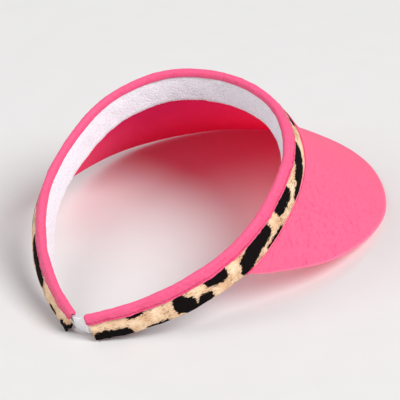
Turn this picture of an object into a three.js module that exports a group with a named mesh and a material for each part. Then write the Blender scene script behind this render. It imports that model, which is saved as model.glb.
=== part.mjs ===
// A sun visor: a curved fabric brim on a head band that is open at the back and closed there
// by a short elastic. Millimetres, +Z up, +Y towards the front of the brim.
// The visor lies on a table, on the front edge of its brim and on the ends of its two arms.

import * as THREE from 'three';
import { mergeVertices } from 'three/addons/utils/BufferGeometryUtils.js';

// ---------------------------------------------------------------- driving dimensions

// Half of the band's outline seen along the head's axis, from the middle of the forehead
// round to the end of the right arm. The left half mirrors it.
const HALF_OUTLINE = [[0, 126.5], [42, 116], [70.5, 84], [79, 41.5], [74.5, -2], [55, -41], [30, -69], [4.5, -88]];
const FRONT_TILT = THREE.MathUtils.degToRad(25);  // the band's front is raised this much at rest

const BINDING_HEIGHT = 16.7;     // centre of the top binding's roll above the band's lower rim
const BINDING_RADIUS = 2.75;     // outside radius of the roll
const BINDING_CLOTH = 0.65;      // thickness of the binding fabric
const BINDING_LEG = { inner: 1.2, outer: 3.9 };  // how far its legs reach down from the roll's centre

const RIM_OUT = { middle: 9.8, swing: -2.3, endTaper: 4.6 };  // lower rim, outwards of the roll
const HEM_IN = { middle: 6.9, swing: 1.65 };                  // sweatband's hem, inwards of the roll
const HEM_DROP = { middle: 2.0, swing: 2.0 };                 // sweatband's hem, below the rim
const TAPER_START = 0.65;        // share of the half band where the arm's flare starts to narrow
const STACK_HALF = 1.8;          // half the thickness of the layers where the binding grips them
const STACK_TOP = 17.3;          // top of those layers above the lower rim

const COVER_THICK = 1.0;
const STIFFENER_THICK = 0.9;
const TERRY_TOP_THICK = 1.2;
const TERRY_HEM_THICK = 2.4;
const FOAM_TOP_THICK = 1.1;
const FOAM_HEM_THICK = 4.6;
const FOAM_TOP = 0.7;            // foam stops at this share of the band's height
const LAYER_GAP = 0.3;
const THREAD_RADIUS = 0.35;
const STITCH_INSET = 1;          // the stitches run this far above the binding's outer edge

// Shares of the half band, from 0 at the forehead to 1 at the arm's end.
const HINGE = 0.633;             // the arm bends here, at the corner of the brim
const HINGE_GAP = 0.0012;        // half of the slit between the front and the arm
const FOAM_END = 0.9;
const STIFFENER_END = 0.92;
const COVER_END = 0.992;         // the end fold closes the rest
const ELASTIC_START = 0.935;     // the elastic is tucked this far into the arm

// Right half of the brim's edge, from its tip to its corner on the band: x, y and height above
// the table, with y from the same origin as the band's outline after the tilt.
const BRIM_EDGE = [[0, 239.8, 1.4], [61, 216, 1.75], [104, 152, 4.6], [109, 68, 14.5]];
const TABLE_DROP = 39.3;         // the band's outline origin stands this high above the table
const BRIM_SAG = 9;              // hollow of the brim at its deepest
const BRIM_SAG_SKEW = 0.7;       // 0 puts the deepest place half way out, 1 nearer the band
const BRIM_CORNER = 0.955;       // the brim's layers stop at this share of the way to its corner
const BOARD_THICK = 1.2;
const BRIM_CLOTH = 0.6;
const EDGE_RADIUS = 1.4;
const FLANGE_HEIGHT = 6;
const FLANGE_THICK = 0.8;

const ELASTIC_THICK = 1.3;
const ELASTIC_LOW = 1.6;
const ELASTIC_HIGH = 13.2;
const BARTACK_RADIUS = 0.4;
const BARTACK_LOW = 3;
const BARTACK_HIGH = 9;

const FRONT_STEPS = 36;
const ARM_STEPS = 14;
const BRIM_STEPS = 36;
const BINDING_STEPS = 12;

const PINK = { color: 0xff6a99, roughness: 0.85, metalness: 0 };
const DARK_PINK = { color: 0xc2185b, roughness: 0.7, metalness: 0 };
const LEOPARD = { color: 0xe8c59a, roughness: 0.9, metalness: 0 };
const TERRY = { color: 0xf4f1f4, roughness: 1, metalness: 0 };
const FOAM = { color: 0xefe6d8, roughness: 1, metalness: 0 };
const BOARD = { color: 0xf2f2f2, roughness: 0.5, metalness: 0 };
const ELASTIC = { color: 0xffffff, roughness: 0.9, metalness: 0 };

// ---------------------------------------------------------------- curves and sections

const { lerp, smoothstep } = THREE.MathUtils;

function mirrored(half) {
  const left = half.slice(1).reverse().map(([x, ...rest]) => [-x, ...rest]);
  return [...left, ...half];
}

const outline = new THREE.SplineCurve(mirrored(HALF_OUTLINE).map(([x, y]) => new THREE.Vector2(x, y)));
outline.arcLengthDivisions = 800;
const halfLength = outline.getLength() / 2;

// A point of the band: s runs from -1 at the left arm's end to 1 at the right arm's end,
// n points outwards across the band and z is along the head's axis.
function bandPoint(s, n, z) {
  const along = THREE.MathUtils.clamp((s + 1) / 2, 0, 1);
  const p = outline.getPointAt(along);
  const t = outline.getTangentAt(along);
  return new THREE.Vector3(p.x - t.y * n, p.y + t.x * n, z);
}

const swing = (size, s) => size.middle + size.swing * Math.cos(Math.PI * s);

function rimOut(s) {
  return swing(RIM_OUT, s) - RIM_OUT.endTaper * smoothstep(Math.abs(s), TAPER_START, 1);
}

// The band's outer and inner faces at h, from 0 at the lower edge to 1 under the binding,
// and depth into the band, as [n, z].
function outerFace(s, h, depth) {
  return [lerp(rimOut(s), STACK_HALF, h) - depth, STACK_TOP * h];
}

function innerFace(s, h, depth) {
  return [-lerp(swing(HEM_IN, s), STACK_HALF, h) + depth, lerp(-swing(HEM_DROP, s), STACK_TOP, h)];
}

const terryThick = (h) => lerp(TERRY_HEM_THICK, TERRY_TOP_THICK, h);
const foamThick = (h) => lerp(FOAM_HEM_THICK, FOAM_TOP_THICK, h / FOAM_TOP);

// The binding's cross-section: w from -1 at the inner leg's end to 1 at the outer leg's end.
function bindingSection(w, radius) {
  const arc = (Math.PI / 2) * radius;
  const at = lerp(-arc - BINDING_LEG.inner, arc + BINDING_LEG.outer, (w + 1) / 2);
  const past = Math.max(0, Math.abs(at) - arc);
  const angle = THREE.MathUtils.clamp(at, -arc, arc) / radius;
  return [Math.sin(angle) * radius, BINDING_HEIGHT + Math.cos(angle) * radius - past];
}

// ---------------------------------------------------------------- closed solids

// A block with its corners at -0.5 and 0.5, bent by place(u, v, w).
function bentBlock(steps, place) {
  const block = new THREE.BoxGeometry(1, 1, 1, ...steps);
  return bent(block, place);
}

// A rod along the first direction: place(u, c, s) with c and s on the unit circle.
function bentRod(sides, steps, place) {
  const rod = new THREE.CylinderGeometry(1, 1, 1, sides, steps);
  return bent(rod, (x, y, z) => place(y, z, x));
}

function bent(geometry, place) {
  geometry.deleteAttribute('normal');
  geometry.deleteAttribute('uv');
  const merged = mergeVertices(geometry, 1e-5);
  const position = merged.getAttribute('position');
  for (let i = 0; i < position.count; i += 1) {
    const p = place(position.getX(i), position.getY(i), position.getZ(i));
    position.setXYZ(i, p.x, p.y, p.z);
  }
  merged.computeVertexNormals();
  return merged;
}

// A layer of the band between s0 and s1. face(s, h, depth) gives its section.
function bandLayer(s0, s1, steps, heights, lowDepth, highDepth, face) {
  return bentBlock([steps, 1, 2], (u, v, w) => {
    const s = lerp(s0, s1, u + 0.5);
    const h = lerp(heights[0], heights[1], w + 0.5);
    const [n, z] = face(s, h, v > 0 ? lowDepth(h) : highDepth(h));
    return bandPoint(s, n, z);
  });
}

const outerCover = (s0, s1, steps) =>
  bandLayer(s0, s1, steps, [0, 1], () => 0, () => COVER_THICK, outerFace);

function stiffener(s0, s1, steps) {
  const outside = COVER_THICK + LAYER_GAP;
  return bandLayer(s0, s1, steps, [0.05, 0.97], () => outside, () => outside + STIFFENER_THICK, outerFace);
}

const sweatband = (s0, s1, steps) =>
  bandLayer(s0, s1, steps, [0, 1], terryThick, () => 0, innerFace);

function foamPad(s0, s1, steps) {
  const inside = (h) => terryThick(h) + LAYER_GAP;
  return bandLayer(s0, s1, steps, [0.04, FOAM_TOP], (h) => inside(h) + foamThick(h), inside, innerFace);
}

function binding(s0, s1, steps) {
  return bentBlock([steps, 1, BINDING_STEPS], (u, v, w) => {
    const s = lerp(s0, s1, u + 0.5);
    const cloth = v > 0 ? BINDING_CLOTH : 0;
    const [n, z] = bindingSection(-2 * w, BINDING_RADIUS - BINDING_CLOTH + cloth);
    return bandPoint(s, clearOfLayers(s, n, z, cloth), z);
  });
}

// The legs of the binding lean outwards with the flaring layers that they hold.
function clearOfLayers(s, n, z, cloth) {
  const clear = LAYER_GAP + cloth;
  const drop = swing(HEM_DROP, s);
  if (z > STACK_TOP) {
    return n;
  }
  if (n > 0) {
    return Math.max(n, outerFace(s, z / STACK_TOP, 0)[0] + clear);
  }
  return Math.min(n, innerFace(s, (z + drop) / (STACK_TOP + drop), 0)[0] - clear);
}

function bindingStitch(s0, s1, steps) {
  const z = BINDING_HEIGHT - BINDING_LEG.outer + STITCH_INSET;
  return bentRod(6, steps, (u, c, d) => {
    const s = lerp(s0, s1, u + 0.5);
    const n = clearOfLayers(s, BINDING_RADIUS, z, BINDING_CLOTH) + LAYER_GAP + THREAD_RADIUS;
    return bandPoint(s, n + THREAD_RADIUS * c, z + THREAD_RADIUS * d);
  });
}

function seamFlange(s0, s1, steps) {
  const outside = COVER_THICK + STIFFENER_THICK + 2 * LAYER_GAP;
  const top = FLANGE_HEIGHT / STACK_TOP;
  return bandLayer(s0, s1, steps, [0.05, top], () => outside, () => outside + FLANGE_THICK, outerFace);
}

// ---------------------------------------------------------------- brim

const tilt = new THREE.Matrix4().makeRotationX(FRONT_TILT);
const untilt = tilt.clone().invert();

function onTable(p) {
  const q = p.clone().applyMatrix4(tilt);
  q.z += TABLE_DROP;
  return q;
}

const corner = onTable(bandPoint(HINGE, rimOut(HINGE), 0));
const edgePoints = mirrored([...BRIM_EDGE, corner.toArray()]);
const brimEdge = new THREE.CatmullRomCurve3(edgePoints.map((p) => new THREE.Vector3(...p)), false, 'catmullrom');

// A point of the brim's middle surface: t from -1 to 1 across, v from 0 at the band to 1 at
// the edge, in the table's frame.
function brimMiddle(t, v) {
  const s = HINGE * t;
  const start = onTable(bandPoint(s, rimOut(s) - 0.6, -1.4));
  const end = brimEdge.getPoint((t + 1) / 2);
  const p = start.lerp(end, v);
  const out = v * (1 + BRIM_SAG_SKEW * (1 - v));
  p.z -= BRIM_SAG * 4 * out * (1 - out) * Math.cos((t * Math.PI) / 2);
  return p;
}

function brimNormal(t, v) {
  const d = 1e-3;
  const across = brimMiddle(t + d, v).sub(brimMiddle(t - d, v));
  const out = brimMiddle(t, v + d).sub(brimMiddle(t, v - d));
  return across.cross(out).normalize();
}

function brimPoint(t, v, lift) {
  const p = brimMiddle(t, v).addScaledVector(brimNormal(t, v), lift);
  p.z -= TABLE_DROP;
  return p.applyMatrix4(untilt);
}

// How far out the brim's layers reach, so that the edge fold has room outside them.
function layerReach(t) {
  return 1 - (EDGE_RADIUS + LAYER_GAP) / brimMiddle(t, 0).distanceTo(brimMiddle(t, 1));
}

function brimLayer(low, high) {
  return bentBlock([BRIM_STEPS, 5, 1], (u, v, w) => {
    const t = 2 * u * BRIM_CORNER;
    return brimPoint(t, (v + 0.5) * layerReach(t), w > 0 ? high : low);
  });
}

function edgeFold() {
  return bentRod(8, BRIM_STEPS, (u, c, s) => {
    const t = 2 * u * BRIM_CORNER;
    const normal = brimNormal(t, 1);
    const middle = brimMiddle(t, 1);
    const out = middle.clone().sub(brimMiddle(t, 0.9)).normalize();
    const p = middle.addScaledVector(out, EDGE_RADIUS * c).addScaledVector(normal, EDGE_RADIUS * s);
    p.z -= TABLE_DROP;
    return p.applyMatrix4(untilt);
  });
}

// ---------------------------------------------------------------- back of the band

// The cover's end, turned in across the arm's end between the two faces.
function endFold(side) {
  return bentBlock([1, 2, 4], (u, v, w) => {
    const s = side * lerp(COVER_END + 0.0015, 1, u * side + 0.5);
    const h = lerp(0.1, 0.7, w + 0.5);
    const [outside, z] = outerFace(s, h, 0);
    return bandPoint(s, lerp(ELASTIC_THICK / 2 + LAYER_GAP, outside, v + 0.5), z);
  });
}

function backElastic() {
  return bentBlock([12, 1, 2], (u, v, w) => {
    const z = lerp(ELASTIC_LOW, ELASTIC_HIGH, w + 0.5);
    return elasticPoint(2 * u, -v * ELASTIC_THICK, z);
  });
}

// A point of the elastic: e from -1 to 1 between its two hidden ends. Across the gap it runs
// straight from one arm's end to the other.
function elasticPoint(e, n, z) {
  const side = e < 0 ? -1 : 1;
  const inArm = 2 / 3;
  const reach = Math.abs(e);
  if (reach > 1 - inArm) {
    const s = lerp(1, ELASTIC_START, (reach - (1 - inArm)) / inArm);
    return bandPoint(side * s, n, z);
  }
  const p = bandPoint(side, n, z);
  p.x *= reach / (1 - inArm);
  return p;
}

function elasticBartack(side) {
  const s = side * lerp(ELASTIC_START, 1, 0.35);
  const n = ELASTIC_THICK / 2 + LAYER_GAP + BARTACK_RADIUS;
  const halfWidth = BARTACK_RADIUS / halfLength;
  return bentRod(6, 4, (u, c, w) =>
    bandPoint(s - halfWidth * w, n + BARTACK_RADIUS * c, lerp(BARTACK_LOW, BARTACK_HIGH, u + 0.5)));
}

// ---------------------------------------------------------------- the scene graph

const visor = new THREE.Group();
const band = new THREE.Group();
visor.add(band);

function addPiece(name, geometry, look) {
  const mesh = new THREE.Mesh(geometry, new THREE.MeshStandardMaterial(look));
  mesh.name = name;
  band.add(mesh);
}

function addBandLayers(name, s0, s1, steps, inside) {
  addPiece(`${name}_stiffener`, stiffener(...inside.stiffener, steps), BOARD);
  addPiece(`${name}_outer_cover`, outerCover(...inside.cover, steps), LEOPARD);
  addPiece(`${name}_foam_pad`, foamPad(...inside.foam, steps), FOAM);
  addPiece(`${name}_sweatband`, sweatband(s0, s1, steps), TERRY);
  addPiece(`${name}_binding`, binding(s0, s1, steps), PINK);
  addPiece(`${name}_binding_stitch`, bindingStitch(s0, s1, steps), DARK_PINK);
}

function addFront() {
  const end = HINGE - HINGE_GAP;
  const span = [-end, end];
  addBandLayers('front', -end, end, FRONT_STEPS, { stiffener: span, cover: span, foam: span });
  addPiece('brim_seam_flange', seamFlange(-end * 0.98, end * 0.98, FRONT_STEPS), PINK);
}

function addArm(name, side) {
  const start = HINGE + HINGE_GAP;
  const span = (end) => (side > 0 ? [start, end] : [-end, -start]);
  const inside = { stiffener: span(STIFFENER_END), cover: span(COVER_END), foam: span(FOAM_END) };
  addBandLayers(name, ...span(1), ARM_STEPS, inside);
  addPiece(`${name}_end_fold`, endFold(side), LEOPARD);
}

function addBrim() {
  const face = BOARD_THICK / 2 + LAYER_GAP;
  addPiece('brim_board', brimLayer(-BOARD_THICK / 2, BOARD_THICK / 2), BOARD);
  addPiece('brim_top_cover', brimLayer(face, face + BRIM_CLOTH), PINK);
  addPiece('brim_under_cover', brimLayer(-face - BRIM_CLOTH, -face), PINK);
  addPiece('brim_edge_fold', edgeFold(), PINK);
}

function addBack() {
  addPiece('back_elastic', backElastic(), ELASTIC);
  addPiece('left_elastic_bartack', elasticBartack(-1), TERRY);
  addPiece('right_elastic_bartack', elasticBartack(1), TERRY);
}

addBrim();
addFront();
addArm('left_arm', -1);
addArm('right_arm', 1);
addBack();

// Set the visor down on the table, with the middle of its box above the origin.
band.rotation.x = FRONT_TILT;
visor.updateMatrixWorld(true);
const box = new THREE.Box3().setFromObject(visor, true);
const middle = box.getCenter(new THREE.Vector3());
band.position.set(-middle.x, -middle.y, -box.min.z);

export default visor;
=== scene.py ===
"""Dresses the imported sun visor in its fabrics: cotton brim, leopard print band, binding,
terry sweatband and back elastic. Blender objects are in metres, in the CAD's own frame."""

import math

import bpy
import numpy as np
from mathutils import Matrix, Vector


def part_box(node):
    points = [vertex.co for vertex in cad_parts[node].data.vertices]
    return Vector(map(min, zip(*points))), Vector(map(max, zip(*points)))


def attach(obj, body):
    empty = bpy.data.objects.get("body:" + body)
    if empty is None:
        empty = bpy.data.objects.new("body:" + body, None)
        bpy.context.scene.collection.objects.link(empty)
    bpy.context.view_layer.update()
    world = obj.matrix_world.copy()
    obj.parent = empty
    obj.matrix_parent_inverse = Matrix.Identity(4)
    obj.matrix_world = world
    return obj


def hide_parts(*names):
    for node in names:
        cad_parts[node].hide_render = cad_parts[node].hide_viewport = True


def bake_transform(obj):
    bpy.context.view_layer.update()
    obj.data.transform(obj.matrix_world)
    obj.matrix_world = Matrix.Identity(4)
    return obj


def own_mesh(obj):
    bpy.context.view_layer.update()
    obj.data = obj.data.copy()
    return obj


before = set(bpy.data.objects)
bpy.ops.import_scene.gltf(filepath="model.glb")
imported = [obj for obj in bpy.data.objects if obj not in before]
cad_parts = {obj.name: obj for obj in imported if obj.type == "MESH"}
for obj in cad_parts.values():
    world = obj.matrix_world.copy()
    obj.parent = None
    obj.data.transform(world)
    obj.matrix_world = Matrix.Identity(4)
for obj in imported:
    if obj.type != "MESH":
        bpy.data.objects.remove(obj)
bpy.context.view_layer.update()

# ---------------------------------------------------------------- the CAD's dimensions, mm

HALF_OUTLINE = [(0, 126.5), (42, 116), (70.5, 84), (79, 41.5), (74.5, -2), (55, -41), (30, -69), (4.5, -88)]
FRONT_TILT = math.radians(25)
TABLE_DROP = 39.3

BINDING_HEIGHT = 16.7
BINDING_RADIUS = 2.75
INNER_LEG = 1.2
OUTER_LEG = 3.9
STACK_HALF = 1.8
STACK_TOP = 17.3
RIM_MIDDLE_OUT = 7.5
COVER_THICK = 1.0
STIFFENER_THICK = 0.9
LAYER_GAP = 0.3
HINGE = 0.633
STIFFENER_END = 0.92
FOAM_END = 0.9
COVER_END = 0.992
ELASTIC_THICK = 1.3
ELASTIC_LOW = 0.5
ELASTIC_HIGH = 15.7

BRIM_EDGE = [(0, 239.8, 1.4), (61, 216, 1.75), (104, 152, 4.6), (109, 68, 14.5)]
BRIM_SAG = 9
BRIM_SAG_SKEW = 0.7
BRIM_CORNER = 0.99
BOARD_HALF = 0.6
BRIM_CLOTH = 0.6
EDGE_RADIUS = 1.4
HIGHLIGHT_COLUMNS = 6     # this many lines of points along the brim's turned edge carry a painted highlight

SEED = 7

COVER_POINTS = 27        # points up each face of the printed cover
ELASTIC_POINTS = 25      # points up each face of the elastic
BRIM_ACROSS = 261        # points across the brim and out along it
BRIM_OUT = 49
PAD_POINTS = 132         # points round the sweatband's section


def smoothstep(x, low=0.0, high=1.0):
    """0 below low, 1 above high, and a smooth step between."""
    x = np.clip((x - low) / (high - low), 0, 1)
    return x * x * (3 - 2 * x)


def lerp(a, b, t):
    return a + (b - a) * t


# ---------------------------------------------------------------- curves shared with the CAD

def mirrored(half):
    """The half outline with its mirror image before it."""
    left = [(-p[0], *p[1:]) for p in half[:0:-1]]
    return np.array([*left, *half], float)


def catmull_rom(points, t, open_ends=False):
    """Points of a uniform Catmull-Rom curve at t from 0 to 1. Its end points are doubled, or with
    open_ends carried on in a straight line."""
    last = len(points) - 1
    at = np.asarray(t, float) * last
    i = np.clip(np.floor(at).astype(int), 0, last - 1)
    w = (at - i)[..., None]
    before = 2 * points[0] - points[1] if open_ends else points[0]
    after = 2 * points[-1] - points[-2] if open_ends else points[-1]
    padded = np.vstack([before, points, after])
    p0, p1, p2, p3 = (padded[i + k] for k in range(4))
    v0, v1 = (p2 - p0) / 2, (p3 - p1) / 2
    return (2 * p1 - 2 * p2 + v0 + v1) * w**3 + (3 * p2 - 3 * p1 - 2 * v0 - v1) * w**2 + v0 * w + p1


OUTLINE = mirrored(HALF_OUTLINE)
CURVE_T = np.linspace(0, 1, 3201)
CURVE = catmull_rom(OUTLINE, CURVE_T)
CURVE_LENGTH = np.r_[0, np.cumsum(np.linalg.norm(np.diff(CURVE, axis=0), axis=1))]
HALF_LENGTH = CURVE_LENGTH[-1] / 2


def to_table(p):
    """From the band's own tilted frame to the table's, in mm."""
    c, s = math.cos(FRONT_TILT), math.sin(FRONT_TILT)
    x, y, z = p[..., 0], p[..., 1], p[..., 2]
    return np.stack([x, c * y - s * z, s * y + c * z + TABLE_DROP], -1)


def table_shift():
    """From the table's frame to the part's own, in mm, by the highest and foremost points of the
    packed cover, which are in the middle of the forehead."""
    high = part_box("front_outer_cover")[1]
    c, s = math.cos(FRONT_TILT), math.sin(FRONT_TILT)
    foremost = c * (HALF_OUTLINE[0][1] + RIM_MIDDLE_OUT)
    highest = s * (HALF_OUTLINE[0][1] + STACK_HALF) + c * STACK_TOP + TABLE_DROP
    return np.array([0, high[1] * 1000 - foremost, high[2] * 1000 - highest])


TABLE_SHIFT = table_shift()


def to_metres(p):
    return (p + TABLE_SHIFT) / 1000


def band_table(s, n, z):
    """Points of the band in the table's frame, mm. s runs from -1 at the left arm's end to 1 at
    the right arm's end, n points outwards and z along the head's axis."""
    s, n, z = np.broadcast_arrays(s, n, z)
    t = np.interp((np.clip(s, -1, 1) + 1) * HALF_LENGTH, CURVE_LENGTH, CURVE_T)
    p = catmull_rom(OUTLINE, t)
    d = catmull_rom(OUTLINE, np.minimum(t + 1e-4, 1)) - catmull_rom(OUTLINE, np.maximum(t - 1e-4, 0))
    d /= np.linalg.norm(d, axis=-1, keepdims=True)
    return to_table(np.stack([p[..., 0] - d[..., 1] * n, p[..., 1] + d[..., 0] * n, z], -1))


def band(s, n, z):
    return to_metres(band_table(s, n, z))


def rim_out(s):
    """How far the band's lower rim stands outside the outline, mm."""
    return 9.8 - 2.3 * np.cos(np.pi * s) - 4.6 * smoothstep(np.abs(s), 0.65, 1)


def hem_in(s):
    """How far the sweatband's hem stands inside the outline, mm."""
    return 6.9 + 1.65 * np.cos(np.pi * s) - 1.9 * smoothstep(np.abs(s), 0.6, 0.85)


def hem_drop(s):
    """How far the hem hangs below the lower rim, mm. It is 4 at the forehead and 0 at the ends."""
    return 2 + 2 * np.cos(np.pi * s)


def outer_face(s, h, depth=0.0):
    """The cover's outside, h from 0 at the rim to 1 at the top, depth mm under it."""
    return lerp(rim_out(s), STACK_HALF, h) - depth, STACK_TOP * h + 0 * s


def inner_face(s, h, depth=0.0):
    """The sweatband's face, h from 0 at its hem to 1 at the top, depth mm under it."""
    return depth - lerp(hem_in(s), STACK_HALF, h), lerp(-hem_drop(s), STACK_TOP, h)


CORNER = band_table(np.array(HINGE), rim_out(HINGE), np.array(0.0))
BRIM_LINE = mirrored([*BRIM_EDGE, tuple(CORNER)])


def brim_middle(t, v):
    """The brim's middle surface in the table's frame: t from -1 to 1 across, v from 0 at the band."""
    t, v = np.broadcast_arrays(t, v)
    s = HINGE * t
    start = band_table(s, rim_out(s) - 0.6, -1.4)
    end = catmull_rom(BRIM_LINE, (t + 1) / 2, open_ends=True)
    p = lerp(start, end, v[..., None])
    out = v * (1 + BRIM_SAG_SKEW * (1 - v))
    p[..., 2] -= BRIM_SAG * 4 * out * (1 - out) * np.cos(t * np.pi / 2)
    return p


def brim_normal(t, v):
    """The brim's upward direction."""
    d = 1e-3
    across = brim_middle(t + d, v) - brim_middle(t - d, v)
    out = brim_middle(t, v + d) - brim_middle(t, v - d)
    n = np.cross(across, out)
    return n / np.linalg.norm(n, axis=-1, keepdims=True)


def brim_point(t, v, lift):
    """A point of the brim, lift mm above its middle surface."""
    lift = np.broadcast_to(lift, np.broadcast(t, v).shape)
    return brim_middle(t, v) + brim_normal(t, v) * lift[..., None]


# ---------------------------------------------------------------- meshes

def ripple(a, b, wavelength, seed, waves=14):
    """Smooth random relief of about unit size over a and b, in mm."""
    rng = np.random.default_rng(seed)
    total = np.zeros(np.broadcast(a, b).shape)
    for _ in range(waves):
        turn = rng.uniform(0, 2 * math.pi)
        size = 2 * math.pi / (wavelength * rng.uniform(0.7, 1.6))
        total = total + np.sin(size * (a * math.cos(turn) + b * math.sin(turn)) + rng.uniform(0, 6.28))
    return total / math.sqrt(waves / 2)


def tube_mesh(name, rings, uv=None):
    """A closed body from rings of points, (count, around, 3) in metres. uv is in mm."""
    count, around = rings.shape[:2]
    index = np.arange(count * around).reshape(count, around)
    beside = np.roll(index, -1, axis=1)
    quads = np.stack([index[:-1], index[1:], beside[1:], beside[:-1]], -1).reshape(-1, 4)
    faces = [*quads.tolist(), index[0].tolist(), index[-1][::-1].tolist()]
    p = rings.reshape(-1, 3)
    a, b, c, d = (p[quads[:, k]] for k in range(4))
    volume = np.einsum("ij,ij->", np.cross(a, b), c) + np.einsum("ij,ij->", np.cross(a, c), d)
    if volume < 0:
        faces = [f[::-1] for f in faces]
    mesh = bpy.data.meshes.new(name)
    mesh.from_pydata(p.tolist(), [], faces)
    if uv is not None:
        layer = mesh.uv_layers.new(name="UVMap")
        uv = uv / 1000
        flat = uv.reshape(-1, 2)
        loops = np.zeros(len(mesh.loops), np.int32)
        mesh.loops.foreach_get("vertex_index", loops)
        layer.data.foreach_set("uv", flat[loops].astype(np.float32).ravel())
    mesh.polygons.foreach_set("use_smooth", np.ones(len(mesh.polygons), bool))
    mesh.update()
    piece = bpy.data.objects.new(name, mesh)
    bpy.context.scene.collection.objects.link(piece)
    return piece


def strip_uv(s, rings):
    """Texture coordinates in mm: along the band, and round the section."""
    step = np.linalg.norm(np.diff(rings, axis=1), axis=2) * 1000
    round_it = np.concatenate([np.zeros((len(rings), 1)), np.cumsum(step, axis=1)], axis=1)
    along = np.broadcast_to((s * HALF_LENGTH).reshape(-1, 1), round_it.shape)
    return np.stack([along, round_it], -1)


def set_attribute(piece, name, values):
    """A number for each point of the mesh, which a material can read."""
    layer = piece.data.attributes.new(name, "FLOAT", "POINT")
    layer.data.foreach_set("value", np.asarray(values, np.float32).ravel())


def along_half(side, s_end, step, s_start=0.0):
    """Band stations from the middle of the forehead to an arm's end, every step mm."""
    count = int((s_end - s_start) * HALF_LENGTH / step) + 1
    return side * np.linspace(s_start, s_end, count)[:, None]


# ---------------------------------------------------------------- the two sides, and the layers each piece stands for

SIDES = (("left", -1), ("right", 1))


def flexes(piece, side_name, slot, *layers):
    """Bakes the piece's placement and hides these layers of the front and the arm, which it stands for."""
    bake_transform(piece)
    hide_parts(*[f"{part}_{layer}" for part in ("front", f"{side_name}_arm") for layer in layers])


# ---------------------------------------------------------------- materials

def new_material(name, roughness, sheen=0.0, sheen_roughness=0.5, specular=0.3):
    """A new node material, its tree and its shader."""
    material = bpy.data.materials.new(name)
    material.use_nodes = True
    tree = material.node_tree
    shader = tree.nodes["Principled BSDF"]
    shader.inputs["Roughness"].default_value = roughness
    shader.inputs["Specular IOR Level"].default_value = specular
    shader.inputs["Sheen Weight"].default_value = sheen
    shader.inputs["Sheen Roughness"].default_value = sheen_roughness
    return material, tree, shader


def node(tree, kind, inputs=(), **settings):
    """A new node with its inputs set or linked, and its settings."""
    made = tree.nodes.new(kind)
    for key, value in settings.items():
        setattr(made, key, value)
    for key, value in dict(inputs).items():
        if isinstance(value, bpy.types.NodeSocket):
            tree.links.new(value, made.inputs[key])
        else:
            made.inputs[key].default_value = value
    return made


def maths(tree, operation, a, b=0.0, c=None):
    inputs = {0: a, 1: b} if c is None else {0: a, 1: b, 2: c}
    made = node(tree, "ShaderNodeMath", inputs, operation=operation)
    return made.outputs[0]


def coordinates(tree, source="UV", scale=(1, 1, 1), rotation=0.0):
    start = node(tree, "ShaderNodeTexCoord").outputs[source]
    mapping = node(tree, "ShaderNodeMapping", {"Vector": start, "Scale": scale})
    mapping.inputs["Rotation"].default_value = (0, 0, rotation)
    return mapping.outputs[0]


def noise(tree, vector, scale, detail=2.0, roughness=0.5):
    made = node(tree, "ShaderNodeTexNoise", {"Vector": vector, "Scale": scale, "Detail": detail})
    made.inputs["Roughness"].default_value = roughness
    return made.outputs["Fac"]


def ramp(tree, value, *stops):
    made = node(tree, "ShaderNodeValToRGB", {"Fac": value})
    elements = made.color_ramp.elements
    while len(elements) < len(stops):
        elements.new(0.5)
    for element, (position, colour) in zip(elements, stops):
        element.position = position
        element.color = (*colour, 1) if len(colour) == 3 else colour
    return made.outputs["Color"]


def grey(value):
    return (value, value, value)


def mix(tree, share, a, b, blend_type="MIX"):
    made = node(tree, "ShaderNodeMix", data_type="RGBA", blend_type=blend_type)
    for socket, value in ((made.inputs[0], share), (made.inputs[6], a), (made.inputs[7], b)):
        if isinstance(value, bpy.types.NodeSocket):
            tree.links.new(value, socket)
        else:
            socket.default_value = (*value, 1) if isinstance(value, tuple) else value
    return made.outputs[2]


def bump(tree, height, strength, distance, normal=None):
    inputs = {"Height": height, "Strength": strength, "Distance": distance}
    if normal is not None:
        inputs["Normal"] = normal
    return node(tree, "ShaderNodeBump", inputs).outputs["Normal"]


def weave(tree, vector, pitch):
    """The height of a plain weave of this pitch in metres: warp over weft, turn by turn."""
    parts = node(tree, "ShaderNodeSeparateXYZ", {"Vector": vector})
    turn = math.pi / pitch
    u = maths(tree, "SINE", maths(tree, "MULTIPLY", parts.outputs[0], turn))
    v = maths(tree, "SINE", maths(tree, "MULTIPLY", parts.outputs[1], turn))
    over = maths(tree, "MULTIPLY", u, v)
    return maths(tree, "MULTIPLY_ADD", over, 0.5, 0.5)


def srgb(text):
    """A colour in linear light from its usual six-digit name."""
    parts = [int(text[i:i + 2], 16) / 255 for i in (0, 2, 4)]
    return tuple(p / 12.92 if p < 0.04045 else ((p + 0.055) / 1.055) ** 2.4 for p in parts)


def let_light_through(tree, shader, colour, share, shadow):
    """Light from behind the surface glows through it in this colour, and its shadow is tinted."""
    glow = node(tree, "ShaderNodeBsdfTranslucent", {"Color": (*colour, 1)})
    both = node(tree, "ShaderNodeMixShader", {0: share, 1: shader.outputs[0], 2: glow.outputs[0]})
    clear = node(tree, "ShaderNodeBsdfTransparent", {"Color": (*shadow, 1)})
    to_lamp = node(tree, "ShaderNodeLightPath").outputs["Is Shadow Ray"]
    seen = node(tree, "ShaderNodeMixShader", {0: to_lamp, 1: both.outputs[0], 2: clear.outputs[0]})
    tree.links.new(seen.outputs[0], tree.nodes["Material Output"].inputs["Surface"])


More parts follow.
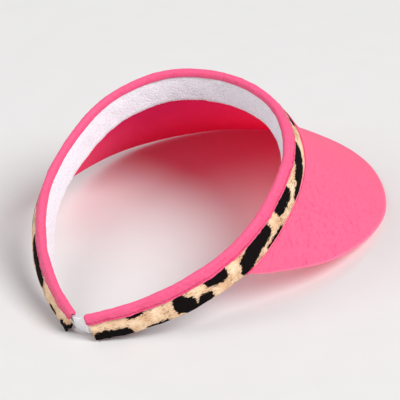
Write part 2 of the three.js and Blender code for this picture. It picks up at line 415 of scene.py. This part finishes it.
def pink_cotton(name, colour, deep, source="UV", pitch=0.00055, gloss=0.15, groove_shade=None, edge_highlight=None):
    """Plain-woven cotton canvas with slubs in both yarns and slightly uneven dye. Where the mesh
    marks them, a seam's sunken line is darkened with painted shade and a turned edge is
    lightened with a painted highlight."""
    material, tree, shader = new_material(name, 0.85 - 0.6 * (gloss - 0.15), sheen=0.12, specular=gloss)
    flat = coordinates(tree, source)
    warp = noise(tree, coordinates(tree, source, (1, 0.16, 1)), 1250, 3)
    weft = noise(tree, coordinates(tree, source, (0.16, 1, 1)), 1250, 3)
    slubs = maths(tree, "ADD", warp, weft)
    cloud = noise(tree, flat, 45, 3)
    dyed = mix(tree, ramp(tree, slubs, (0.66, grey(0)), (1.34, grey(1))), deep, colour)
    shade = ramp(tree, cloud, (0.3, grey(0.94)), (0.7, grey(1.0)))
    dyed = mix(tree, 1.0, dyed, shade, "MULTIPLY")
    # Painted shade: darkens the seam's sunken line where the mesh's seam attribute marks it.
    if groove_shade:
        seam = node(tree, "ShaderNodeAttribute", attribute_name="seam").outputs["Fac"]
        dyed = mix(tree, seam, dyed, groove_shade)
    # Painted highlight: a paler band along the brim's turned edge, where its rolled edge catches light.
    if edge_highlight:
        edge = node(tree, "ShaderNodeAttribute", attribute_name="edge_highlight_mask").outputs["Fac"]
        dyed = mix(tree, edge, dyed, edge_highlight)
    tree.links.new(dyed, shader.inputs["Base Color"])
    height = maths(tree, "ADD", weave(tree, flat, pitch), maths(tree, "MULTIPLY", slubs, 0.4))
    tree.links.new(bump(tree, height, 0.3, 0.0001), shader.inputs["Normal"])
    return material


def leopard_print(name):
    """Short-napped leopard print. The nap lies along the band and feathers the spots' outlines."""
    material, tree, shader = new_material(name, 0.85, specular=0.08)
    flat = coordinates(tree, "UV")
    nap = coordinates(tree, "UV", (0.35, 1.2, 1))
    depth = node(tree, "ShaderNodeAttribute", attribute_name="spot_depth").outputs["Fac"]
    feather = maths(tree, "SUBTRACT", noise(tree, nap, 800, 4, 0.7), 0.5)
    lobes = maths(tree, "SUBTRACT", noise(tree, flat, 210, 2), 0.5)
    edge = maths(tree, "ADD", maths(tree, "MULTIPLY", feather, 6.0), maths(tree, "MULTIPLY", lobes, 3.0))
    black = ramp(tree, maths(tree, "ADD", depth, edge), (0.0, grey(0)), (0.35, grey(1)))
    cloud = noise(tree, flat, 110, 3)
    tan = ramp(tree, cloud, (0.35, srgb("DCB490")), (0.52, srgb("EACCA9")), (0.7, srgb("F3DDC0")))
    patches = ramp(tree, noise(tree, flat, 75, 3), (0.46, grey(0.0)), (0.62, grey(1.0)))
    rim = ramp(tree, maths(tree, "MULTIPLY_ADD", depth, 0.25, 0.75), (0.0, grey(0)), (0.6, grey(0.8)))
    brown = maths(tree, "MAXIMUM", patches, rim)
    tan = mix(tree, maths(tree, "MULTIPLY", brown, 0.4), tan, srgb("C99A76"))
    grain = noise(tree, nap, 1150, 3, 0.75)
    fleck = maths(tree, "MULTIPLY_ADD", brown, 0.10, grain)
    tan = mix(tree, ramp(tree, fleck, (0.58, grey(0)), (0.70, grey(0.85))), tan, srgb("6E4634"))
    ink = mix(tree, ramp(tree, grain, (0.5, grey(0)), (0.8, grey(0.6))), srgb("0C0809"), srgb("2A1C19"))
    tree.links.new(mix(tree, black, tan, ink), shader.inputs["Base Color"])
    fine = noise(tree, nap, 2600, 3, 0.7)
    tree.links.new(bump(tree, fine, 0.4, 0.00015), shader.inputs["Normal"])
    return material


def terry_cloth(name, colour, shade, source="UV"):
    """Cotton terry: a mat of small loops with shaded hollows between them."""
    material, tree, shader = new_material(name, 0.95, sheen=0.3, sheen_roughness=0.6, specular=0.1)
    flat = coordinates(tree, source)
    loops = node(tree, "ShaderNodeTexVoronoi", {"Vector": flat, "Scale": 1100.0}).outputs["Distance"]
    fluff = noise(tree, flat, 900, 4, 0.7)
    hollow = maths(tree, "MULTIPLY", loops, fluff)
    tone = ramp(tree, hollow, (0.12, colour), (0.5, shade))
    cloud = ramp(tree, noise(tree, flat, 60, 2), (0.3, grey(0.96)), (0.7, grey(1.0)))
    tree.links.new(mix(tree, 1.0, tone, cloud, "MULTIPLY"), shader.inputs["Base Color"])
    height = maths(tree, "SUBTRACT", fluff, loops)
    tree.links.new(bump(tree, height, 0.5, 0.0004), shader.inputs["Normal"])
    return material


def thread(name, colour, deep, source="UV"):
    """Twisted sewing thread."""
    material, tree, shader = new_material(name, 0.55, sheen=0.1, specular=0.4)
    strand = node(tree, "ShaderNodeTexWave", {"Vector": coordinates(tree, source), "Scale": 900.0})
    strand.bands_direction = "DIAGONAL"
    twist = strand.outputs["Fac"]
    # Painted shade: the deep colour falls in the hollows between the twists.
    tree.links.new(mix(tree, twist, deep, colour), shader.inputs["Base Color"])
    tree.links.new(bump(tree, twist, 0.5, 0.0001), shader.inputs["Normal"])
    return material


def moulded_sheet(name, colour, shade):
    """Calendered plastic board with a faint grain."""
    material, tree, shader = new_material(name, 0.5, specular=0.4)
    grain = noise(tree, coordinates(tree, "Object"), 700, 4)
    tree.links.new(mix(tree, grain, shade, colour), shader.inputs["Base Color"])
    tree.links.new(bump(tree, grain, 0.2, 0.0001), shader.inputs["Normal"])
    return material


def ribbed_elastic(name):
    """Terry-faced elastic with ribs across it and soft loops."""
    material, tree, shader = new_material(name, 0.92, sheen=0.25, sheen_roughness=0.6, specular=0.1)
    flat = coordinates(tree, "UV")
    ribs = node(tree, "ShaderNodeTexWave", {"Vector": flat, "Scale": 190.0, "Distortion": 1.5})
    fluff = noise(tree, flat, 1100, 4, 0.7)
    height = maths(tree, "ADD", maths(tree, "MULTIPLY", ribs.outputs["Fac"], 0.6), fluff)
    # Painted shade: lower places between the ribs and loops are darker.
    tone = ramp(tree, height, (0.3, srgb("EAE7F0")), (0.8, srgb("FBFAFD")))
    tree.links.new(tone, shader.inputs["Base Color"])
    tree.links.new(bump(tree, height, 0.5, 0.0004), shader.inputs["Normal"])
    return material


# The brim's paler edge colour is a painted highlight along its turned edge.
BRIM_PINK = pink_cotton("brim_cotton", srgb("EF749E"), srgb("DF5384"), edge_highlight=srgb("FFA9C2"))
# Painted shade and glow: the underside is a deeper crimson than the top, and stands in for the shade under
# the brim and the red light coming through it.
UNDER_PINK_SHADED = pink_cotton("brim_under_cotton_shaded", srgb("EC2276"), srgb("DE1260"))
LINING = pink_cotton("brim_cotton_back", srgb("FF9FC4"), srgb("FF8FB8"))
SEAM_PINK = pink_cotton("seam_cotton", srgb("FF5F93"), srgb("F2437E"), "Object")
# The binding's darker crimson along its seam line is painted shade.
BINDING_PINK = pink_cotton(
    "binding_cotton", srgb("EA5482"), srgb("D83C6C"), pitch=0.00045, gloss=0.45, groove_shade=srgb("B4184E")
)
STITCH_PINK = thread("binding_thread", srgb("F23C7A"), srgb("DA2662"))
LEOPARD = leopard_print("leopard_nap")
TERRY_WHITE = terry_cloth("terry_loops", srgb("F1F0F6"), srgb("DEDBE6"))
ELASTIC_WHITE = ribbed_elastic("elastic_rib")
WHITE_THREAD = thread("white_thread", srgb("F6F5F8"), srgb("CFCDD6"), "Object")
BOARD_WHITE = moulded_sheet("brim_board_plastic", srgb("F4F4F4"), srgb("E2E2E4"))


RED_SHADOW = (0.73, 0.05, 0.44)

for sheet, tint, share in (
    (BRIM_PINK, (1, 0.06, 0.32), 0.25),
    (UNDER_PINK_SHADED, (1, 0.01, 0.26), 0.24),
    (BOARD_WHITE, (1, 0.95, 0.95), 0.85),
    (LINING, (1, 0.6, 0.7), 0.97),
):
    let_light_through(sheet.node_tree, sheet.node_tree.nodes["Principled BSDF"], tint, share, RED_SHADOW)


def dress(piece, material):
    piece.data.materials.clear()
    piece.data.materials.append(material)
    return piece


# ---------------------------------------------------------------- the brim

def brim_taper(t):
    """The brim's width, and the share of its thickness that is left where it runs out under the
    cover at its corners."""
    width = np.linalg.norm(brim_middle(t, 1.0) - brim_middle(t, 0.0), axis=-1)
    return width, np.clip(width / 7, 0.3, 1)


def edge_arc(t, radius, angles):
    """Points round the brim's edge, at angles from straight up to straight down."""
    middle = brim_middle(t, 1.0)[:, None]
    normal = brim_normal(t, 1.0)[:, None]
    out = middle - brim_middle(t, 0.9)[:, None]
    out = out / np.linalg.norm(out, axis=-1, keepdims=True)
    a = angles[None, :, None]
    return middle + radius * (out * np.sin(a) + normal * np.cos(a))


def brim_cloth(name, outside, inside, turned, material):
    """One skin of the brim between two heights above its middle surface. The upper skin is
    turned over the edge, and its turned end lies along the lower skin's."""
    t = np.linspace(-BRIM_CORNER, BRIM_CORNER, BRIM_ACROSS)
    width, slim = brim_taper(t)
    slim = slim[:, None]
    v = np.linspace(0, 1, BRIM_OUT)[None, :] * (1 - (EDGE_RADIUS + LAYER_GAP) * slim / width[:, None])
    grid = np.broadcast_to(t[:, None], v.shape)
    lift = ripple(grid * 110, v * 70, 38, SEED + 1) * 0.12 * np.sin(np.pi * v)
    outer = brim_point(grid, v, (outside + lift) * slim)
    inner = brim_point(grid, v, (inside + lift) * slim)
    middle = [outer]
    if turned:
        angles = np.linspace(0.12, math.pi - 0.05, 14)
        middle.append(edge_arc(t, (EDGE_RADIUS + 0.05) * slim[..., None], angles))
        middle.append(edge_arc(t, (EDGE_RADIUS - 0.5) * slim[..., None], angles[::-1]))
    else:
        lip = brim_point(grid[:, -1:], v[:, -1:] + 0.002, ((outside + inside) / 2 + lift[:, -1:]) * slim)
        middle.append(lip)
    rings = np.concatenate([*middle, inner[:, ::-1]], axis=1)
    rings[..., 2] += 0.9 * smoothstep(np.abs(t), 0.94, 0.985)[:, None]
    flat = np.stack([rings[..., 0], rings[..., 1]], -1)
    piece = tube_mesh(name, to_metres(rings), flat)
    # A paler band along the turned edge: a painted highlight where the rolled edge catches light.
    edge = np.zeros(rings.shape[:2])
    if turned:
        first = outer.shape[1] - 1
        fade = np.sin(np.linspace(0.3, math.pi - 0.3, HIGHLIGHT_COLUMNS))
        edge[:, first:first + HIGHLIGHT_COLUMNS] = 0.6 * fade
    set_attribute(piece, "edge_highlight_mask", edge)
    hidden_from = rings.shape[1] - inner.shape[1]
    around = rings.shape[1]
    ring_faces = np.arange((len(t) - 1) * around) % around
    slots = np.r_[(ring_faces >= hidden_from) & (ring_faces < around - 1), [False, False]]
    piece.data.materials.append(material)
    piece.data.materials.append(LINING)
    piece.data.polygons.foreach_set("material_index", slots.astype(np.int32))
    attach(piece, "front")
    return piece


def make_brim():
    """Both cloths of the brim, and the materials of its board and its seam flange."""
    face = BOARD_HALF + LAYER_GAP
    top = brim_cloth("brim_top_cloth", face + BRIM_CLOTH, face, True, BRIM_PINK)
    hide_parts("brim_top_cover", "brim_edge_fold")
    under = brim_cloth("brim_under_cloth", -face - BRIM_CLOTH, -face, False, UNDER_PINK_SHADED)
    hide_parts("brim_under_cover")
    dress(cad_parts["brim_board"], BOARD_WHITE)
    dress(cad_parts["brim_seam_flange"], SEAM_PINK)


# ---------------------------------------------------------------- the printed cover

# Each spot is a rounded stroke: its two ends, as mm from the forehead and share of the band's
# height, and its half width in mm. The right side is positive.
SPOTS = [
    (264, 0.11, 281, 0.17, 4.6), (251, 0.72, 260, 0.70, 1.5), (238, 0.03, 249, 0.02, 2.0),
    (221, 0.25, 226, 0.42, 5.6), (208, 0.22, 212, 0.20, 3.6), (212, 0.08, 221, 0.08, 3.0),
    (194, 0.60, 203, 0.68, 4.2), (152, 0.85, 152, 0.60, 4.2), (153, 0.55, 166, 0.52, 5.0),
    (166, 0.48, 176, 0.32, 5.2), (176, 0.28, 179, 0.14, 4.0), (142, 0.0, 157, 0.0, 2.6),
    (122, 0.68, 132, 0.62, 6.0), (84, 0.60, 91, 0.46, 5.8), (91, 0.40, 104, 0.26, 4.6),
    (104, 0.20, 116, 0.08, 3.2), (48, 0.12, 57, 0.20, 3.6), (19, 0.92, 27, 0.90, 1.8),
    (3, 0.30, 10, 0.42, 4.2), (31, 0.34, 36, 0.26, 3.8), (66, 0.80, 73, 0.76, 2.4),
    (-96, 0.84, -120, 0.84, 3.2), (-143, 0.88, -166, 0.84, 3.6), (-183, 0.18, -197, 0.12, 3.8),
    (-211, 0.62, -242, 0.34, 4.6), (-281, 0.06, -292, 0.12, 6.2), (-148, 0.26, -157, 0.32, 4.4),
    (-121, 0.26, -131, 0.34, 4.4), (-98, 0.24, -108, 0.18, 4.0), (-74, 0.62, -83, 0.52, 4.6),
    (-58, 0.18, -65, 0.24, 3.8), (-38, 0.68, -47, 0.60, 4.4), (-20, 0.20, -28, 0.30, 4.2),
    (-6, 0.80, -12, 0.84, 2.6), (-176, 0.55, -180, 0.60, 2.2), (-262, 0.22, -268, 0.20, 2.0),
]
END_SLANT = 3.2     # the arms' ends lean: their lower corners stop this much earlier
END_RUN = 26.0      # over this length


def spot_depth(along, height):
    """How far each point is inside the nearest spot, in mm. Outside it is negative."""
    depth = np.full(along.shape, -9.0)
    for a0, h0, a1, h1, radius in SPOTS:
        x, y = along - a0, height - h0 * STACK_TOP
        dx, dy = a1 - a0, (h1 - h0) * STACK_TOP
        w = np.clip((x * dx + y * dy) / max(dx * dx + dy * dy, 1e-6), 0, 1)
        depth = np.maximum(depth, radius - np.hypot(x - w * dx, y - w * dy))
    return depth


def slanted(s, h):
    """Pulls the stations near an arm's end forwards, more towards the lower rim."""
    along = np.abs(s) * HALF_LENGTH
    pull = END_SLANT * (1 - h) * smoothstep(along, HALF_LENGTH - END_RUN, HALF_LENGTH)
    return np.sign(s) * (along - pull) / HALF_LENGTH


def cover_section(s):
    """The cover's ring of points: down the outside, round the turned hem and up the inside."""
    down = np.linspace(1, 0.03, COVER_POINTS)
    turn = np.linspace(0, math.pi, 6)[1:-1]
    h = np.r_[down, 0.03 * np.cos(turn), down[::-1]][None, :]
    inside = np.r_[np.zeros(COVER_POINTS), 0.5 - 0.5 * np.cos(turn), np.ones(COVER_POINTS)][None, :]
    along = s * HALF_LENGTH
    height = h * STACK_TOP
    relief = ripple(along, height, 16, SEED) * 0.10 + ripple(along, height, 7, SEED + 5) * 0.05
    plump = 0.3 + 0.8 * smoothstep(np.abs(s), 0.28, 0.4)
    crown = plump * np.sin(np.pi * np.clip(h / 0.72, 0, 1)) ** 0.8
    near_end = smoothstep(np.abs(along), HALF_LENGTH - 45, HALF_LENGTH - 4)
    pucker = near_end * ripple(along * 1.6, height * 0.5, 6, SEED + 9) * 0.2
    rim_wave = ripple(along, 0 * h, 24, SEED + 3) * 0.28 * (1 - np.clip(h, 0, 1)) ** 3
    n, z = outer_face(s, h)
    bare = 1 - smoothstep(h, 0.55, 0.72)
    n = n + (relief + crown + pucker) * bare * (1 - inside) - COVER_THICK * inside
    on_brim = 1 - smoothstep(np.abs(s), HINGE - 0.04, HINGE + 0.02)
    return h, n, z + rim_wave * (1 - on_brim) - 0.45 * on_brim * (1 - np.clip(h, 0, 1)) ** 2


def make_cover(side_name, side):
    """The leopard-print cover from the forehead to one arm's end."""
    s = along_half(side, COVER_END + 0.006, 1.1)
    h, n, z = cover_section(s)
    at = slanted(s, h)
    rings = band(at, n, z)
    piece = tube_mesh(f"leopard_cover_{side_name}", rings, strip_uv(s, rings))
    set_attribute(piece, "spot_depth", spot_depth(at * HALF_LENGTH, z))
    dress(piece, LEOPARD)
    flexes(piece, side_name, "leopard_hair", "outer_cover")


def make_end_fold(side_name, side):
    """The cover's end, turned in across the end of the arm."""
    u = np.linspace(0, 1, 13)[:, None]
    angles = np.linspace(0, 2 * math.pi, 25)[:-1][None, :]
    h = 0.40 + 0.34 * np.sin(angles) * (0.4 + 0.6 * np.sin(np.pi * np.clip(u, 0.06, 0.94)))
    outside = outer_face(np.array(side * 1.0), h)[0] - 0.5
    n = lerp(outside, ELASTIC_THICK / 2 + 1.2, u) + 0 * angles
    s = side * (1 - 0.6 / HALF_LENGTH + 0.55 / HALF_LENGTH * np.cos(angles)) + 0 * u
    height = STACK_TOP * h + 0 * n
    rings = band(slanted(s, h), n, height)
    piece = tube_mesh(f"leopard_end_fold_{side_name}", rings, strip_uv(np.linspace(0, 0.02, 13), rings))
    set_attribute(piece, "spot_depth", spot_depth(side * HALF_LENGTH + 0 * height, height))
    dress(piece, LEOPARD)
    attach(piece, f"{side_name}_arm")
    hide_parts(f"{side_name}_arm_end_fold")


def make_stiffener(side_name, side):
    """The hidden stiffener behind the cover."""
    s = along_half(side, STIFFENER_END, 3)
    h = np.r_[np.linspace(0.05, 0.97, 9), np.linspace(0.97, 0.05, 9)][None, :]
    depth = COVER_THICK + LAYER_GAP + STIFFENER_THICK * np.r_[np.zeros(9), np.ones(9)][None, :]
    n, z = outer_face(s, h, depth)
    rings = band(s, n, z)
    piece = tube_mesh(f"band_stiffener_{side_name}", rings, strip_uv(s, rings))
    dress(piece, BOARD_WHITE)
    flexes(piece, side_name, "board", "stiffener")


# ---------------------------------------------------------------- the binding

def clear_of_layers(s, n, z, clear):
    """Leans the binding's legs outwards with the layers that they hold."""
    drop = hem_drop(s)
    outer = outer_face(s, z / STACK_TOP)[0] + clear
    inner = inner_face(s, (z + drop) / (STACK_TOP + drop))[0] - clear
    held = np.where(n > 0, np.maximum(n, outer), np.minimum(n, inner))
    return np.where(z > STACK_TOP, n, held)


def outer_leg(s):
    """The binding's outer leg is longest round the front and shortest at the arms' ends."""
    front, end = 1 - smoothstep(np.abs(s), 0.2, 0.4), smoothstep(np.abs(s), 0.75, 1)
    return OUTER_LEG + 0.8 * front - 0.8 * end


def binding_path(s, w, radius):
    """The binding's section, w from -1 at the inner leg's end to 1 at the outer leg's end."""
    arc = math.pi / 2 * radius
    at = lerp(-arc - INNER_LEG, arc + outer_leg(s), (w + 1) / 2)
    past = np.maximum(0, np.abs(at) - arc)
    angle = np.clip(at, -arc, arc) / radius
    return np.sin(angle) * radius, BINDING_HEIGHT + np.cos(angle) * radius - past


STITCH_PITCH = 2.9
STITCH_LENGTH = STITCH_PITCH * 0.86
STITCH_RADIUS = 0.24
STITCH_RINGS = 7
STITCH_SIDES = 6
BINDING_CLEAR = LAYER_GAP + 0.7     # from the printed cover to the binding's outer face
STITCH_UP = 1.15     # the seam runs this far above the binding's lower edge


def make_binding(side_name, side):
    """The binding folded over the band's top edge, puckered along its seam."""
    s = along_half(side, 1.0, 0.8)
    along = s * HALF_LENGTH
    w = np.linspace(-1, 1, 41)[None, :]
    body = BINDING_RADIUS - 0.05
    n, z = binding_path(s, w, body)
    seam_at = BINDING_HEIGHT - outer_leg(s) + STITCH_UP
    seam = np.exp(-(((seam_at - z) / 0.5) ** 2)) * (w > 0.2)
    dimple = 0.75 + 0.25 * np.cos(2 * math.pi * along / STITCH_PITCH)
    pull = ripple(along + 0.8 * w * 9, w * 4, 5.5, SEED + 20) * 0.13
    slack = ripple(along, w * 6, 22, SEED + 24) * 0.22
    sewn = 0.4 + 0.6 * smoothstep(w, 0.1, 0.5)
    swell = (pull + slack) * sewn - seam * dimple * 0.5
    across = clear_of_layers(s, n, z, BINDING_CLEAR)
    direction_n, direction_z = np.sin(w * 1.9), np.maximum(np.cos(w * 1.9), 0)
    outer_n = across + swell * direction_n
    outer_z = z + swell * direction_z
    wi = w[:, ::-1]
    ni, zi = binding_path(s, wi, body - 0.65)
    inner_n = clear_of_layers(s, ni, zi, LAYER_GAP)
    end = smoothstep(np.abs(along), HALF_LENGTH - 2.0, HALF_LENGTH)
    closing = 1 - 0.45 * end**2
    n = np.concatenate([outer_n, inner_n], axis=1) * closing
    z = np.concatenate([outer_z, np.broadcast_to(zi, inner_n.shape)], axis=1)
    z = lerp(BINDING_HEIGHT - 0.8, z, 1 - 0.25 * end**2)
    rings = band(s, n, z)
    piece = tube_mesh(f"binding_{side_name}", rings, strip_uv(s, rings))
    # The seam attribute masks the painted shade along the binding's seam line.
    set_attribute(piece, "seam", np.concatenate([0.8 * seam * dimple, 0 * inner_n], axis=1))
    dress(piece, BINDING_PINK)
    flexes(piece, side_name, "binding_fabric", "binding")


def make_stitches(side_name, side):
    """Single lock stitches along the binding's outer edge, merged into one mesh."""
    first = np.arange(1.2, HALF_LENGTH - 2.5, STITCH_PITCH)
    u = np.linspace(0, 1, STITCH_RINGS)
    angles = np.linspace(0, 2 * math.pi, STITCH_SIDES + 1)[:-1]
    points = STITCH_RINGS * STITCH_SIDES
    vertices, faces = [], []
    for start in first:
        along = start + u * STITCH_LENGTH
        s = side * along / HALF_LENGTH
        z0 = BINDING_HEIGHT - outer_leg(s[0]) + STITCH_UP
        radius = STITCH_RADIUS * np.sqrt(np.clip(np.sin(np.pi * np.clip(u, 0.04, 0.96)), 0.05, 1))
        seat = clear_of_layers(s, BINDING_RADIUS + 0 * u, z0 + 0 * u, BINDING_CLEAR)
        seat = seat - 0.5 + 0.25 * np.sin(np.pi * u)
        n = seat[:, None] + radius[:, None] * np.cos(angles)
        z = z0 + radius[:, None] * np.sin(angles)
        ring = band(s[:, None], n, z).reshape(-1, 3)
        base = len(vertices) * points
        vertices.append(ring)
        index = base + np.arange(points).reshape(STITCH_RINGS, STITCH_SIDES)
        beside = np.roll(index, -1, axis=1)
        quads = np.stack([index[:-1], index[1:], beside[1:], beside[:-1]], -1).reshape(-1, 4)
        ends = [index[0].tolist(), index[-1][::-1].tolist()]
        made = [*quads.tolist(), *ends]
        faces += made if side < 0 else [f[::-1] for f in made]
    mesh = bpy.data.meshes.new(f"binding_stitches_{side_name}")
    mesh.from_pydata(np.concatenate(vertices).tolist(), [], faces)
    mesh.polygons.foreach_set("use_smooth", np.ones(len(mesh.polygons), bool))
    mesh.update()
    piece = bpy.data.objects.new(mesh.name, mesh)
    bpy.context.scene.collection.objects.link(piece)
    dress(piece, STITCH_PINK)
    flexes(piece, side_name, "binding_thread", "binding_stitch")


# ---------------------------------------------------------------- the padded sweatband

PAD_FACE = 0.46      # the face takes this share of the points round the pad's section
PAD_BACK = 0.54      # the back starts here, and the hem lies between
PAD_TOP_THICK = 1.1


def pad_thickness(s):
    """The sweatband's thickness at its hem: terry round foam, then terry alone in the arm's end."""
    return lerp(6.6, 2.0, smoothstep(np.abs(s), FOAM_END - 0.06, FOAM_END))


def pad_rings(s, points):
    """Rings of the padded sweatband: down its face, round its hem and up its back."""
    around = np.linspace(0, 1, points, endpoint=False)[None, :]
    face = np.clip(around / PAD_FACE, 0, 1)
    back = np.clip((around - PAD_BACK) / PAD_FACE, 0, 1)
    turn = np.clip((around - PAD_FACE) / 0.08, 0, 1)
    at_hem = (around >= PAD_FACE) & (around <= PAD_BACK)
    h = np.where(around < PAD_FACE, 1 - face, np.where(around > PAD_BACK, back, 0.0))
    thick = lerp(pad_thickness(s), PAD_TOP_THICK, smoothstep(h, 0.0, 0.85))
    depth = np.where(around < 0.5, 0.0, 1.0)
    depth = np.where(at_hem, 0.5 - 0.5 * np.cos(math.pi * turn), depth)
    crown = -0.7 * np.sin(np.pi * h) * (1 - depth)
    n, z = inner_face(s, h)
    n = n + crown + depth * thick
    droop = np.sin(math.pi * turn) * np.where(at_hem, 1, 0)
    hem_round = 0.9 * (1 - np.minimum(h / 0.12, 1)) ** 2
    n = n + hem_round * (1 - 2 * depth)
    z = z - droop * 0.5
    return around, h, n, z


def make_sweatband(side_name, side):
    """The padded terry sweatband, with its foam, from the forehead to one arm's end."""
    s = along_half(side, 0.997, 0.55)
    around, h, n, z = pad_rings(s, PAD_POINTS)
    rng = np.random.default_rng(SEED + 40 + side)
    face = (around < 0.56) * (1 - smoothstep(h, 0.78, 0.9))
    loops = rng.uniform(-1, 1, n.shape) * 0.22 * face
    along = s * HALF_LENGTH
    soft = ripple(along, h * 20, 13, SEED + 44) * 0.09 * face
    n = n - (loops + soft) * (1 - np.clip((around - 0.5) / 0.06, 0, 1))
    z = z - np.abs(loops) * 1.2 * (h < 0.02)
    rings = band(slanted(s, np.clip(h, 0, 1)), n, z)
    piece = tube_mesh(f"terry_sweatband_{side_name}", rings, strip_uv(s, rings))
    dress(piece, TERRY_WHITE)
    flexes(piece, side_name, "white_terry", "sweatband", "foam_pad")


# ---------------------------------------------------------------- the back elastic

ELASTIC_HIDDEN = 0.918    # the elastic reaches this far forward inside each arm


def elastic_point(e, n, z):
    """e runs from -1 to 1 between the elastic's hidden ends, straight across the back's gap."""
    reach = np.abs(e)
    side = np.where(e < 0, -1, 1)
    inside = np.clip((reach - 1 / 3) * 1.5, 0, 1)
    p = band_table(side * lerp(1, ELASTIC_HIDDEN, inside), n, z)
    p[..., 0] *= np.minimum(reach * 3, 1)
    return to_metres(p)


def make_elastic():
    """The elastic between the arms' ends."""
    e = np.linspace(-1, 1, 141)[:, None]
    up = np.linspace(0, 1, ELASTIC_POINTS)
    around = np.r_[up, up[::-1]][None, :]
    face = np.r_[np.ones(ELASTIC_POINTS), -np.ones(ELASTIC_POINTS)][None, :]
    along = e * 30
    open_part = 1 - smoothstep(np.abs(e), 0.28, 0.42)
    crumple = ripple(along, around * 6, 6, SEED + 60) * 0.30 * open_part
    soft = ripple(along, around * 11, 3.0, SEED + 62) * 0.12 * open_part
    edge = np.abs(around * 2 - 1) ** 6
    n = face * (ELASTIC_THICK / 2) * (1 - edge * 0.7) + crumple + soft * face
    rim = ripple(along, 0 * around, 4, SEED + 64) * 0.3 * open_part
    z = lerp(ELASTIC_LOW + rim * (1 - around), ELASTIC_HIGH, around)
    rings = elastic_point(e + 0 * n, n, z + 0 * n)
    piece = tube_mesh("back_elastic_band", rings, strip_uv(e * 0.1, rings))
    dress(piece, ELASTIC_WHITE)
    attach(piece, "front")
    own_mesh(piece)
    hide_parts("back_elastic")


# ---------------------------------------------------------------- camera, light and floor

CAMERA_AZIMUTH = math.radians(29.76)
CAMERA_ELEVATION = math.radians(29.48)
CAMERA_DISTANCE = 1.8159
CAMERA_TARGET = Vector((0.0267, -0.0492, 0.0570))
CAMERA_LENS = 242.2
LIGHT_TARGET = Vector((0, 0, 0.03))
LIGHT_DISTANCE = 12
FLOOR_HALF = 12


def make_camera():
    """The camera, which looks down at the visor from behind and to its right."""
    data = bpy.data.cameras.new("camera")
    camera = bpy.data.objects.new("camera", data)
    bpy.context.scene.collection.objects.link(camera)
    flat, up = math.cos(CAMERA_ELEVATION), math.sin(CAMERA_ELEVATION)
    back = Vector((math.sin(CAMERA_AZIMUTH) * flat, -math.cos(CAMERA_AZIMUTH) * flat, up))
    camera.location = CAMERA_TARGET + back * CAMERA_DISTANCE
    camera.rotation_mode = "QUATERNION"
    camera.rotation_quaternion = (-back).to_track_quat("-Z", "Y")
    data.sensor_width = 36
    data.lens = CAMERA_LENS
    data.clip_start = 0.01
    data.clip_end = 50
    bpy.context.scene.camera = camera


def area_light(name, towards, size, power, colour=(1, 1, 1)):
    """A round soft light in this direction from the visor."""
    data = bpy.data.lights.new(name, "AREA")
    data.shape = "DISK"
    data.size = size
    data.energy = power
    data.color = colour
    light = bpy.data.objects.new(name, data)
    bpy.context.scene.collection.objects.link(light)
    direction = Vector(towards).normalized()
    light.location = LIGHT_TARGET + direction * LIGHT_DISTANCE
    light.rotation_mode = "QUATERNION"
    light.rotation_quaternion = (-direction).to_track_quat("-Z", "Y")


def make_studio():
    """A pale sky, a soft key light from the right and a softer fill from the left."""
    view = bpy.context.scene.view_settings
    view.view_transform = "Standard"
    view.look = "None"
    view.exposure = 0.0
    world = bpy.data.worlds.new("studio")
    bpy.context.scene.world = world
    world.use_nodes = True
    sky = world.node_tree.nodes["Background"]
    sky.inputs["Color"].default_value = (1.0, 0.99, 0.985, 1)
    sky.inputs["Strength"].default_value = 0.33
    area_light("key", (0.65, -0.105, 0.752), 7, 1450, (1, 0.99, 0.985))
    area_light("fill", (-0.46, -0.61, 0.645), 9, 630)


def make_floor():
    """A plain pale floor."""
    half = FLOOR_HALF
    corners = [(-half, -half, 0), (half, -half, 0), (half, half, 0), (-half, half, 0)]
    mesh = bpy.data.meshes.new("studio_floor")
    mesh.from_pydata(corners, [], [(0, 1, 2, 3)])
    floor = bpy.data.objects.new("studio_floor", mesh)
    bpy.context.scene.collection.objects.link(floor)
    material, tree, shader = new_material("studio_paper", 0.9, specular=0.1)
    mottle = noise(tree, coordinates(tree, "Object"), 40, 3)
    tone = ramp(tree, mottle, (0.3, grey(0.655)), (0.7, grey(0.665)))
    tree.links.new(tone, shader.inputs["Base Color"])
    dress(floor, material)


# ---------------------------------------------------------------- the whole visor

make_camera()
make_studio()
make_floor()
make_brim()
for side_name, side in SIDES:
    make_cover(side_name, side)
    make_end_fold(side_name, side)
    make_stiffener(side_name, side)
    make_binding(side_name, side)
    make_stitches(side_name, side)
    make_sweatband(side_name, side)
    dress(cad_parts[f"{side_name}_elastic_bartack"], WHITE_THREAD)

make_elastic()
